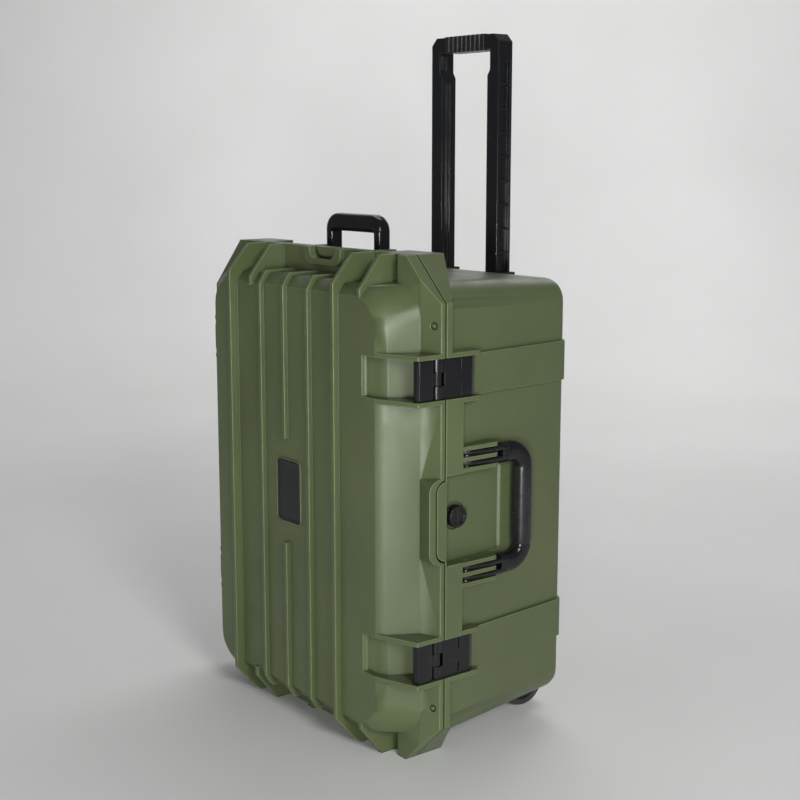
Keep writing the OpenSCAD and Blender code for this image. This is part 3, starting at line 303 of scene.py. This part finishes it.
def rounded_skin(node, radius):
    """A piece with the form of a CAD node and rounded edges, shown in the node's place."""
    form = cad_form(node)
    limit = math.radians(BEVELLED_CORNER)
    edges = [e for e in form.edges if len(e.link_faces) == 2 and e.calc_face_angle(0) > limit]
    bmesh.ops.bevel(
        form, geom=edges, offset=radius, offset_type="OFFSET", segments=2,
        profile=0.5, affect="EDGES", clamp_overlap=True, loop_slide=True,
    )
    finish_piece(node + "_skin", form, node)


def keep_node(node):
    """Shows a CAD node as it is, with its finish."""
    piece = frame["nodes"][node]
    piece.data.materials.clear()
    piece.data.materials.append(FINISHES[SLOT_OF[node]])


# ---------- handles ----------

X_AXIS, Y_AXIS, Z_AXIS = Vector((1, 0, 0)), Vector((0, 1, 0)), Vector((0, 0, 1))
RING_POINTS = 28


def ring(form, centre, side, across, squareness):
    """A closed row of points round centre: an ellipse, or nearer a rounded box as squareness grows."""
    power = 1 - squareness
    points = []
    for k in range(RING_POINTS):
        a = 2 * math.pi * k / RING_POINTS
        c, s = math.cos(a), math.sin(a)
        u = math.copysign(abs(c) ** power, c)
        v = math.copysign(abs(s) ** power, s)
        points.append(form.verts.new(centre + side * u + across * v))
    return points


def loft(form, rows):
    """A closed skin through rows of points, capped at both ends."""
    for a, b in zip(rows, rows[1:]):
        for k in range(RING_POINTS):
            after = (k + 1) % RING_POINTS
            form.faces.new((a[k], a[after], b[after], b[k]))
    form.faces.new(reversed(rows[0]))
    form.faces.new(rows[-1])
    bmesh.ops.recalc_face_normals(form, faces=form.faces)


def bail_path(span, start, reach, bend):
    """Half of a U-shaped centre line, from the foot of an arm to the middle of the bar.
    Gives (along the span, outwards, direction, share of the way from arm to bar)."""
    straight_steps, bend_steps = 6, 12
    quarter_turn = math.pi / 2
    arm_end, bar_end = reach - bend, span - bend
    path = []
    for k in range(straight_steps):
        path.append((span, start + (arm_end - start) * k / straight_steps, 0.0, 0.0))
    for k in range(bend_steps + 1):
        a = quarter_turn * k / bend_steps
        path.append((bar_end + bend * math.cos(a), arm_end + bend * math.sin(a), a, k / bend_steps))
    for k in range(1, straight_steps + 1):
        path.append((bar_end * (1 - k / straight_steps), reach, quarter_turn, 1.0))
    return path


def bail(form, origin, span_axis, out_axis, path, arm_half, bar_half, squareness):
    """A handle of two arms and a bar. Half sizes are (in the plane of the U, across it)."""
    across_axis = span_axis.cross(out_axis)
    rows = []
    whole = [(1, *station) for station in path] + [(-1, *station) for station in reversed(path[:-1])]
    for hand, along, out, turn, share in whole:
        half_in = arm_half[0] + (bar_half[0] - arm_half[0]) * share
        half_across = arm_half[1] + (bar_half[1] - arm_half[1]) * share
        outwards = span_axis * (hand * math.cos(turn)) + out_axis * math.sin(turn)
        centre = origin + span_axis * (hand * along) + out_axis * out
        rows.append(ring(form, centre, outwards * half_in, across_axis * half_across, squareness))
    loft(form, rows)


def handle_tongue(form, foot, length):
    """A flat tongue that grows thicker from its round foot and leans in towards its far end."""
    steps, squareness = 16, 0.55
    half_width, foot_half, gain = 3.4 * MM, 5 * MM, 3.4 * MM
    foot_share, smallest_foot = 1 / 7, 0.03
    lean_out, lean_in, lean_start = 0.4 * MM, 3 * MM, 0.6
    rows = []
    for k in range(steps + 1):
        share = k / steps
        near_foot = max(0.0, 1 - share / foot_share)
        rise = min(1.0, share * 2)
        half_thick = (foot_half + gain * rise) * math.sqrt(max(smallest_foot, 1 - near_foot ** 2))
        lean = (lean_out - max(0.0, share - lean_start) * lean_in) * rise
        centre = foot + X_AXIS * lean + Y_AXIS * (length * share)
        rows.append(ring(form, centre, Z_AXIS * half_width, X_AXIS * half_thick, squareness))
    loft(form, rows)


def grip_sleeve(form, middle, half_length, bar_half):
    """A sleeve round the bar of a handle, fuller in the middle and closed at both ends."""
    half_steps, squareness, end_share = 12, 0.16, 0.94
    wall, crown = 0.5 * MM, 0.5 * MM
    rows = []
    for k in range(2 * half_steps + 1):
        share = k / half_steps - 1
        near_end = max(0.0, abs(share) - end_share) / (1 - end_share)
        swell = (wall + crown * (1 - share ** 2)) * math.sqrt(max(0.0, 1 - near_end ** 2))
        centre = middle + Z_AXIS * (half_length * share)
        side, across = Y_AXIS * (bar_half[0] + swell), X_AXIS * (bar_half[1] + swell)
        rows.append(ring(form, centre, side, across, squareness))
    loft(form, rows)


def main_handle():
    """The handle between the latches: two flat tongues on each side that run into a round bar."""
    frame_lo, frame_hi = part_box("main_handle_frame")
    grip_lo, grip_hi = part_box("main_handle_grip")
    pins_lo, pins_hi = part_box("main_handle_pins")
    pivot = (pins_lo + pins_hi) / 2
    pin_half, tongue_pitch, foot_radius, tongue_lap = 15.2 * MM, 6.55 * MM, 4.8 * MM, 9 * MM
    arm_half, bar_half = (12.6 * MM, 9.2 * MM), (11.6 * MM, 10.6 * MM)
    arm_inset, bend, squareness, sleeve_inset = 1.2 * MM, 22 * MM, 0.22, 3 * MM
    middle_z = (frame_lo.z + frame_hi.z) / 2
    arm_z = pins_hi.z - pin_half - middle_z
    arm_start = frame_lo.y + 58 * MM
    foot_y = pivot.y - foot_radius
    reach = (grip_lo.y + grip_hi.y) / 2
    origin = Vector(((grip_lo.x + grip_hi.x) / 2, 0, middle_z))

    form = bmesh.new()
    path = bail_path(arm_z - arm_inset, arm_start, reach, bend)
    bail(form, origin, Z_AXIS, Y_AXIS, path, arm_half, bar_half, squareness)
    for side in (-1, 1):
        for lift in (-tongue_pitch, tongue_pitch):
            foot = Vector((pivot.x, foot_y, middle_z + side * arm_z + lift))
            handle_tongue(form, foot, arm_start + tongue_lap - foot_y)
    finish_piece("main_handle_bail", form, "main_handle_frame")

    form = bmesh.new()
    half_length = (grip_hi.z - grip_lo.z) / 2 - sleeve_inset
    grip_sleeve(form, origin + Y_AXIS * reach, half_length, bar_half)
    finish_piece("main_handle_sleeve", form, "main_handle_grip")


def end_handle():
    """The carrying handle on the upper end: two legs and a deep bar with soft edges."""
    lo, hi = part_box("end_handle")
    leg_half, bar_half, depth_half = 7 * MM, 11.6 * MM, (hi.y - lo.y) / 2
    leg_inset, foot_lift, bend, squareness = 0.3 * MM, 1.5 * MM, 13 * MM, 0.5
    origin = Vector(((lo.x + hi.x) / 2, (lo.y + hi.y) / 2, lo.z))
    span = (hi.x - lo.x) / 2 - leg_half
    reach = hi.z - lo.z - bar_half
    leg, bar = (leg_half, depth_half - leg_inset), (bar_half, depth_half)
    form = bmesh.new()
    bail(form, origin, X_AXIS, Z_AXIS, bail_path(span, foot_lift, reach, bend), leg, bar, squareness)
    finish_piece("end_handle_bail", form, "end_handle")


# ---------- the whole case ----------

SHELLS = ("base_shell", "lid_shell")
HANDLES = ("main_handle_frame", "main_handle_grip", "end_handle")
# How far the edges of each smaller part are rounded, in mm
EDGE_RADIUS = {
    "nameplate": 0.5, "pull_handle_frame": 1.0, "pull_handle_grip": 0.6, "pull_handle_shoes": 0.8,
    "handle_track": 0.8, "track_bushes": 0.2, "left_wheel_housing": 0.6, "right_wheel_housing": 0.6,
    "left_wheel_hub": 0.5, "right_wheel_hub": 0.5, "valve_body": 0.4, "valve_knob": 0.5,
    "upper_latch_link": 0.8, "lower_latch_link": 0.8, "upper_latch_lever": 0.9, "lower_latch_lever": 0.9,
    "padlock_eyelets_lid": 0.4, "padlock_eyelets_base": 0.4, "track_screws": 0.3,
    "wheel_housing_screws": 0.3, "lid_gasket": 0.6,
}
for shell in SHELLS:
    shell_skin(shell)
for node_name, edge_radius in EDGE_RADIUS.items():
    rounded_skin(node_name, edge_radius * MM)
main_handle()
end_handle()
rebuilt = {*SHELLS, *HANDLES, *EDGE_RADIUS}
for node_name in SLOT_OF:
    if node_name not in rebuilt:
        keep_node(node_name)


# ---------- stage ----------

def floor_profile():
    """The floor's line from front to back, as (y, z): flat, then a quarter bend, then a wall."""
    front, bend_start, bend, top = -6.0, 2.2, 1.5, 5.0
    profile = [(front, 0.0), (bend_start, 0.0)]
    for degrees in range(10, 91, 10):
        a = math.radians(degrees)
        profile.append((bend_start + bend * math.sin(a), bend - bend * math.cos(a)))
    profile.append((bend_start + bend, top))
    return profile


def make_floor():
    """A pale floor that curves up behind the object, turned to face the camera."""
    half_width, turn = 9.0, 51.5
    form = bmesh.new()
    rows = [[form.verts.new((x, y, z)) for y, z in floor_profile()] for x in (-half_width, half_width)]
    for left, right, next_right, next_left in zip(rows[0], rows[1], rows[1][1:], rows[0][1:]):
        form.faces.new((left, right, next_right, next_left))
    mesh = bpy.data.meshes.new("floor")
    form.to_mesh(mesh)
    form.free()
    for polygon in mesh.polygons:
        polygon.use_smooth = True
    floor = bpy.data.objects.new("floor", mesh)
    floor.rotation_euler.z = math.radians(turn)
    bpy.context.scene.collection.objects.link(floor)
    s = Shader("pale_floor")
    tone = s.remap(s.noise(0.8, 3), 0.3, 0.7, 0.0, 1.0)
    colour = s.blend_colours(tone, (0.70, 0.70, 0.69), (0.76, 0.76, 0.75))
    rough = s.remap(s.noise(0.3, 2), 0.3, 0.7, 0.65, 0.75)
    mesh.materials.append(s.finish(colour, rough, s.bump(s.noise(0.004), 0.1 * MM, 0.1)))


def aim(thing, place, target):
    thing.location = place
    thing.rotation_mode = "QUATERNION"
    thing.rotation_quaternion = (Vector(target) - Vector(place)).to_track_quat("-Z", "Y")


def add_light(name, place, target, size, power):
    """A round white lamp. Its place, target and size are in metres and its power is in watts."""
    data = bpy.data.lights.new(name, "AREA")
    data.shape = "DISK"
    data.size = size
    data.energy = power
    lamp = bpy.data.objects.new(name, data)
    bpy.context.scene.collection.objects.link(lamp)
    aim(lamp, place, target)


def add_lights():
    middle = (cad_lo + cad_hi) / 2
    add_light("key", (3.2, -1.0, 1.7), middle, 1.0, 66)
    add_light("beside_camera", (2.1, -1.8, 0.35), middle, 0.5, 42)
    add_light("rim", (-1.0, 2.6, 2.2), middle, 1.2, 5)
    add_light("backdrop_wash", (-1.2, 1.6, 3.6), (-2.8, 3.6, 0.8), 2.4, 70)


def fill_with_daylight():
    """A faint, slightly cool light from all round."""
    world = bpy.data.worlds.new("studio")
    world.use_nodes = True
    sky = world.node_tree.nodes["Background"]
    sky.inputs["Color"].default_value = (0.9, 0.92, 0.95, 1)
    sky.inputs["Strength"].default_value = 0.19
    bpy.context.scene.world = world


def add_camera():
    """The camera stands where the photograph was taken from, relative to the case."""
    lens = bpy.data.cameras.new("camera")
    lens.lens = 63.7
    lens.sensor_width = 36
    lens.clip_start = 0.05
    lens.clip_end = 50
    camera = bpy.data.objects.new("camera", lens)
    bpy.context.scene.collection.objects.link(camera)
    azimuth, pitch = math.radians(51.53), math.radians(-9.99)
    level = math.cos(pitch)
    view_line = Vector((-math.sin(azimuth) * level, math.cos(azimuth) * level, math.sin(pitch)))
    place = Vector((1.49864, -1.06215, 0.75139))
    aim(camera, place, place + view_line)
    bpy.context.scene.camera = camera


make_floor()
add_lights()
fill_with_daylight()
add_camera()
bpy.context.scene.view_settings.view_transform = "Standard"
